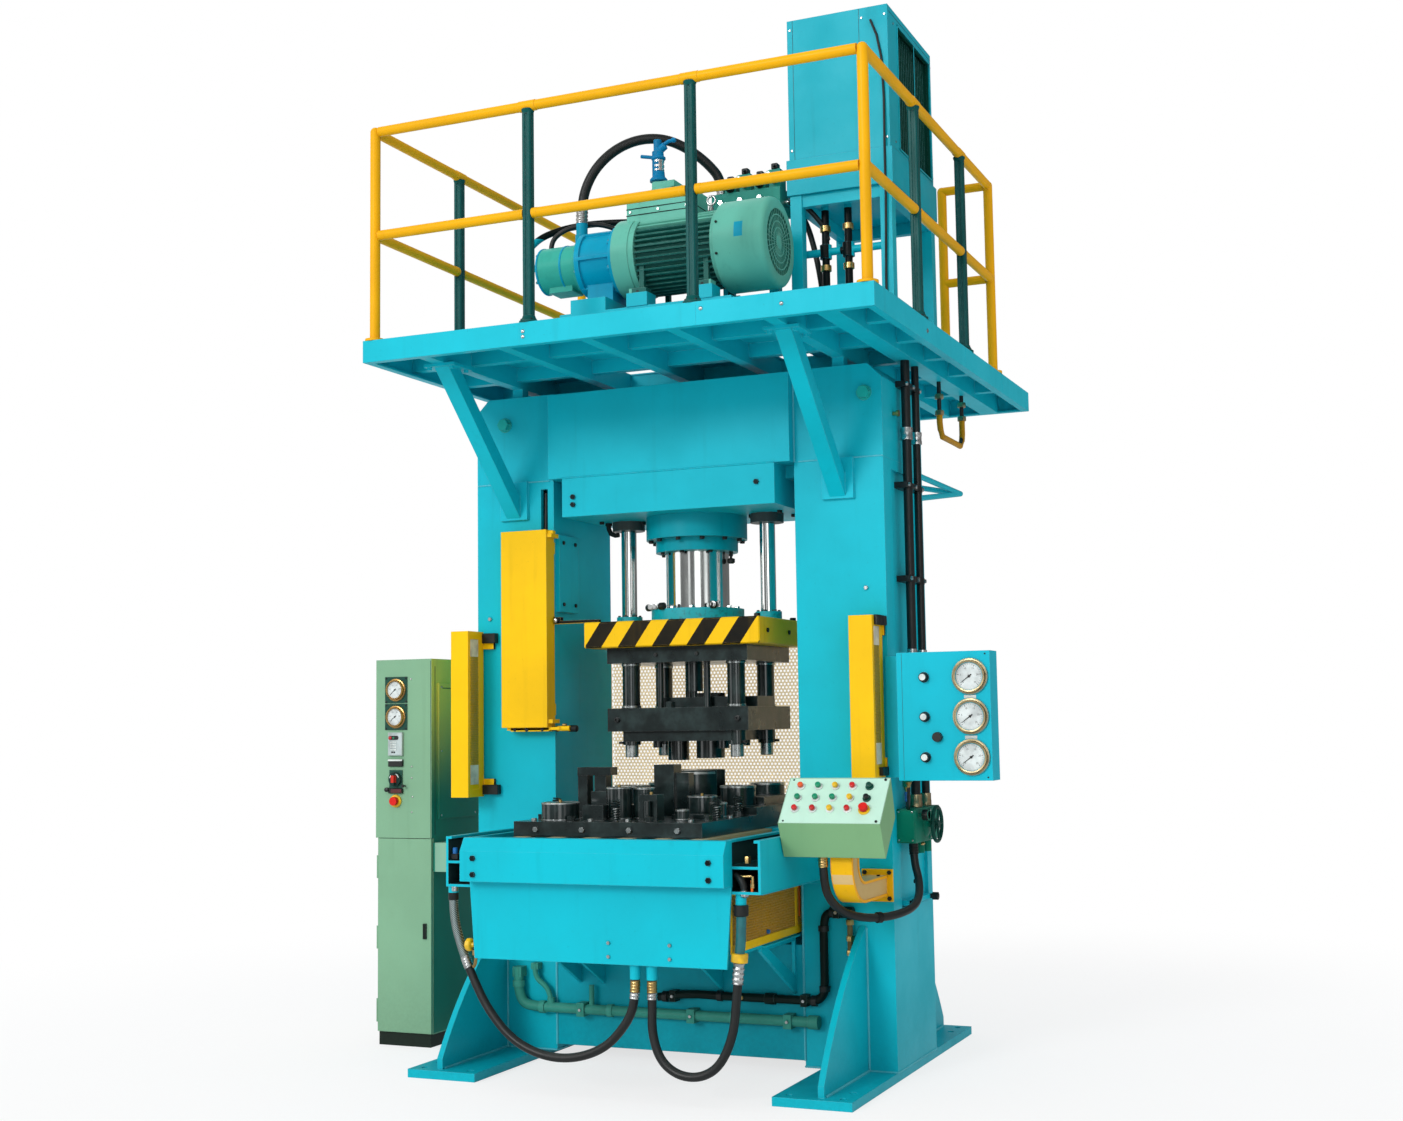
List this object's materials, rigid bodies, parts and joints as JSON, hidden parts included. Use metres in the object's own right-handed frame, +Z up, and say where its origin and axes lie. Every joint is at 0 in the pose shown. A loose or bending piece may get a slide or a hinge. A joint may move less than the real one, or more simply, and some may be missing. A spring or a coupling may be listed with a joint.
{
  "type": "hydraulic press",
  "caption": "Two-post hydraulic press with a sliding die set, a bolster table, a railed platform carrying motor, pump and oil cooler, a console and an electrical cabinet.",
  "frame": {"origin": "on the floor under the axis of the main cylinder, at the middle of the anchor holes of the two foot plates", "axes": "+X to the operator's right, +Y to the back, +Z up along the cylinder"},
  "size_m": [3.4, 2.94, 5.17],
  "materials": {
    "body_paint": "turquoise machine enamel, satin",
    "safety_yellow": "yellow safety enamel",
    "guard_cream": "perforated sheet, pale yellow",
    "post_green": "dark green enamel",
    "machine_green": "grey-green enamel",
    "valve_green": "dark green enamel",
    "die_steel": "blackened tool steel",
    "chrome": "hard chrome, polished",
    "shaft_steel": "turned steel",
    "cabinet_green": "pale green cabinet enamel",
    "console_mint": "pale mint enamel",
    "hose_rubber": "black rubber hose",
    "pipe_green": "painted steel pipe",
    "black_plastic": "black moulded plastic",
    "button_red": "red moulded plastic",
    "button_orange": "orange-red moulded plastic",
    "button_green": "green moulded plastic",
    "button_yellow": "yellow moulded plastic"
  },
  "bodies": {
    "frame": {"left_column": "body_paint", "right_column": "body_paint", "crown": "body_paint", "bed": "body_paint", "main_cylinder": "body_paint", "table_frame": "body_paint", "table_front_lip": "body_paint", "table_skirt": "body_paint", "lower_die": "die_steel", "side_guards": "safety_yellow", "rear_guard": "guard_cream", "light_curtains": "safety_yellow", "switch_cover": "safety_yellow", "platform": "body_paint", "platform_struts": "body_paint", "guard_rails": "safety_yellow", "rail_posts": "post_green", "motor": "machine_green", "fan_cover": "machine_green", "bell_housing": "body_paint", "pump": "machine_green", "motor_base": "body_paint", "valve_manifold": "valve_green", "pressure_hose": "hose_rubber", "cooler_cabinet": "body_paint", "cooler_stand": "body_paint", "electrical_cabinet": "cabinet_green", "gauge_box": "body_paint", "console_box": "console_mint", "console_arm": "safety_yellow", "valve_block": "valve_green", "column_hoses": "hose_rubber", "bed_pipes": "pipe_green", "left_loop_hose": "hose_rubber", "right_loop_hose": "hose_rubber", "console_conduit": "hose_rubber"},
    "slide": {"ram": "chrome", "slide": "safety_yellow", "guide_rods": "chrome", "upper_die": "die_steel"},
    "rotor": {"motor_rotor": "shaft_steel"},
    "console_stop": {"console_estop": "button_red"},
    "handwheel": {"handwheel": "valve_green"},
    "main_switch": {"main_switch": "black_plastic"},
    "cabinet_stop": {"cabinet_estop": "button_red"},
    "cabinet_door": {"cabinet_door": "cabinet_green"},
    "push_button_11": {"push_button_11": "button_orange"},
    "push_button_12": {"push_button_12": "button_green"},
    "push_button_13": {"push_button_13": "button_yellow"},
    "push_button_14": {"push_button_14": "button_red"},
    "push_button_15": {"push_button_15": "button_green"},
    "push_button_21": {"push_button_21": "button_green"},
    "push_button_22": {"push_button_22": "button_green"},
    "push_button_23": {"push_button_23": "button_green"},
    "push_button_24": {"push_button_24": "button_yellow"},
    "push_button_25": {"push_button_25": "black_plastic"},
    "push_button_31": {"push_button_31": "button_red"},
    "push_button_32": {"push_button_32": "button_red"},
    "push_button_33": {"push_button_33": "button_yellow"},
    "push_button_34": {"push_button_34": "button_red"}
  },
  "joints": [
    {"name": "ram_travel", "type": "slide", "parent": "frame", "child": "slide", "axis": [0, 0, 1], "range_m": [-0.148, 0.22]},
    {"name": "rotor_spin", "type": "hinge", "parent": "frame", "child": "rotor", "pos_m": [0, -0.6, 3.955], "axis": [1, 0, 0], "continuous": true},
    {"name": "handwheel_turn", "type": "hinge", "parent": "frame", "child": "handwheel", "pos_m": [1.262, -0.06, 1.17], "axis": [1, 0, 0], "range_deg": [-360, 360]},
    {"name": "main_switch_turn", "type": "hinge", "parent": "frame", "child": "main_switch", "pos_m": [-1.632, -0.33, 1.394], "axis": [0, 1, 0], "range_deg": [0, 90]},
    {"name": "cabinet_estop_push", "type": "slide", "parent": "frame", "child": "cabinet_stop", "axis": [0, 1, 0], "range_m": [0, 0.005], "stiffness_N_per_m": 800, "springref_m": -0.001},
    {"name": "cabinet_door_swing", "type": "hinge", "parent": "frame", "child": "cabinet_door", "pos_m": [-1.751, -0.31, 0.6], "axis": [0, 0, -1], "range_deg": [0, 110]},
    {"name": "console_estop_push", "type": "slide", "parent": "frame", "child": "console_stop", "axis": [0, 0.7504, -0.661], "range_m": [0, 0.005], "stiffness_N_per_m": 800, "springref_m": -0.001},
    {"name": "push_button_11_press", "type": "slide", "parent": "frame", "child": "push_button_11", "axis": [0, 0.7504, -0.661], "range_m": [0, 0.005], "stiffness_N_per_m": 800, "springref_m": -0.001},
    {"name": "push_button_12_press", "type": "slide", "parent": "frame", "child": "push_button_12", "axis": [0, 0.7504, -0.661], "range_m": [0, 0.005], "stiffness_N_per_m": 800, "springref_m": -0.001},
    {"name": "push_button_13_press", "type": "slide", "parent": "frame", "child": "push_button_13", "axis": [0, 0.7504, -0.661], "range_m": [0, 0.005], "stiffness_N_per_m": 800, "springref_m": -0.001},
    {"name": "push_button_14_press", "type": "slide", "parent": "frame", "child": "push_button_14", "axis": [0, 0.7504, -0.661], "range_m": [0, 0.005], "stiffness_N_per_m": 800, "springref_m": -0.001},
    {"name": "push_button_15_press", "type": "slide", "parent": "frame", "child": "push_button_15", "axis": [0, 0.7504, -0.661], "range_m": [0, 0.005], "stiffness_N_per_m": 800, "springref_m": -0.001},
    {"name": "push_button_21_press", "type": "slide", "parent": "frame", "child": "push_button_21", "axis": [0, 0.7504, -0.661], "range_m": [0, 0.005], "stiffness_N_per_m": 800, "springref_m": -0.001},
    {"name": "push_button_22_press", "type": "slide", "parent": "frame", "child": "push_button_22", "axis": [0, 0.7504, -0.661], "range_m": [0, 0.005], "stiffness_N_per_m": 800, "springref_m": -0.001},
    {"name": "push_button_23_press", "type": "slide", "parent": "frame", "child": "push_button_23", "axis": [0, 0.7504, -0.661], "range_m": [0, 0.005], "stiffness_N_per_m": 800, "springref_m": -0.001},
    {"name": "push_button_24_press", "type": "slide", "parent": "frame", "child": "push_button_24", "axis": [0, 0.7504, -0.661], "range_m": [0, 0.005], "stiffness_N_per_m": 800, "springref_m": -0.001},
    {"name": "push_button_25_press", "type": "slide", "parent": "frame", "child": "push_button_25", "axis": [0, 0.7504, -0.661], "range_m": [0, 0.005], "stiffness_N_per_m": 800, "springref_m": -0.001},
    {"name": "push_button_31_press", "type": "slide", "parent": "frame", "child": "push_button_31", "axis": [0, 0.7504, -0.661], "range_m": [0, 0.005], "stiffness_N_per_m": 800, "springref_m": -0.001},
    {"name": "push_button_32_press", "type": "slide", "parent": "frame", "child": "push_button_32", "axis": [0, 0.7504, -0.661], "range_m": [0, 0.005], "stiffness_N_per_m": 800, "springref_m": -0.001},
    {"name": "push_button_33_press", "type": "slide", "parent": "frame", "child": "push_button_33", "axis": [0, 0.7504, -0.661], "range_m": [0, 0.005], "stiffness_N_per_m": 800, "springref_m": -0.001},
    {"name": "push_button_34_press", "type": "slide", "parent": "frame", "child": "push_button_34", "axis": [0, 0.7504, -0.661], "range_m": [0, 0.005], "stiffness_N_per_m": 800, "springref_m": -0.001}
  ]
}
